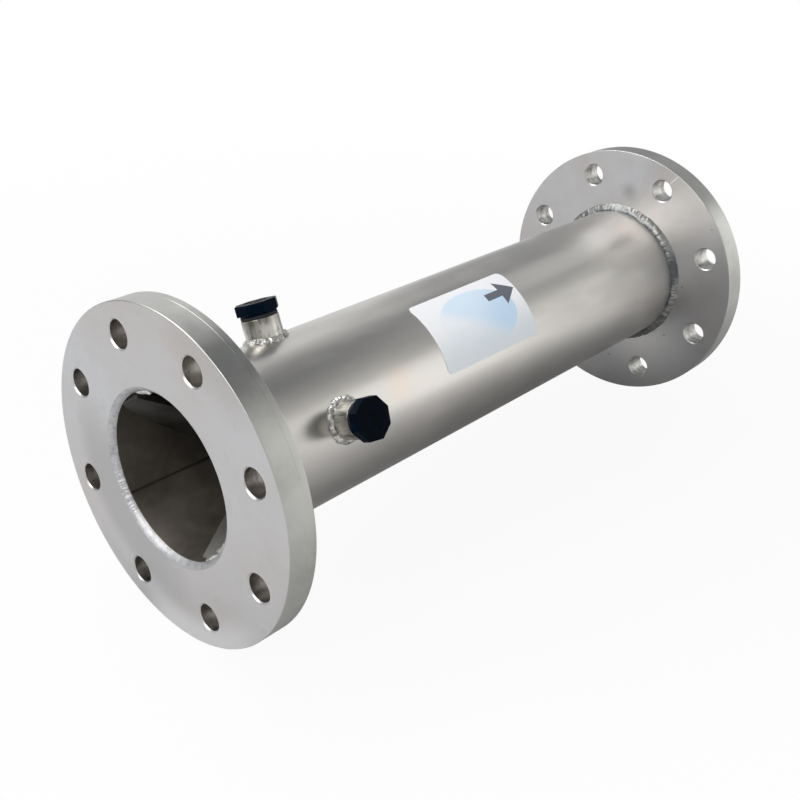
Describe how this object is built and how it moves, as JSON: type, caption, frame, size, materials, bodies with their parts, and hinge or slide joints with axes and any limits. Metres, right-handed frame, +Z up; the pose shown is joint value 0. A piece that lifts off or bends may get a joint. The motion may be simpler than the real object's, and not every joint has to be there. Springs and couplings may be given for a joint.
{
  "type": "static mixer",
  "caption": "Flanged stainless pipe mixer with crossed slanting plates inside, two plugged injection sockets on its side and a label.",
  "frame": {"origin": "centre of the inlet flange's gasket face, on the pipe's axis", "axes": "+X along the pipe with the flow, from the inlet flange to the outlet flange; +Z up; the bolt holes of both flanges straddle the XZ plane; the side socket, the label and the picture's camera are on the -Y side"},
  "size_m": [0.516, 0.22, 0.22],
  "materials": {
    "stainless_pipe": "satin pickled stainless tube with soft reflections",
    "stainless_flange": "pale satin machined stainless with bright edges",
    "stainless_socket": "turned satin stainless",
    "stainless_sheet": "dull mill-finish stainless sheet",
    "weld_metal": "rough weld bead with bright spots",
    "black_plastic": "moulded black plastic with a slight sheen",
    "black_rubber": "dark matt rubber",
    "label_film": "white printed film with a pale blue disc and a flow arrow, no lettering"
  },
  "bodies": {
    "root": {"pipe": "stainless_pipe", "inlet_flange": "stainless_flange", "outlet_flange": "stainless_flange", "inlet_back_weld": "weld_metal", "outlet_back_weld": "weld_metal", "inlet_bore_weld": "weld_metal", "outlet_bore_weld": "weld_metal", "upper_injection_socket": "stainless_socket", "side_injection_socket": "stainless_socket", "upper_socket_weld": "weld_metal", "side_socket_weld": "weld_metal", "upper_plug_seal": "black_rubber", "side_plug_seal": "black_rubber", "upper_plug": "black_plastic", "side_plug": "black_plastic", "inlet_plate_a": "stainless_sheet", "inlet_plate_b": "stainless_sheet", "middle_plate_a": "stainless_sheet", "middle_plate_b": "stainless_sheet", "outlet_plate_a": "stainless_sheet", "outlet_plate_b": "stainless_sheet", "inlet_plate_tacks": "weld_metal", "outlet_plate_tacks": "weld_metal", "label": "label_film"}
  },
  "joints": []
}
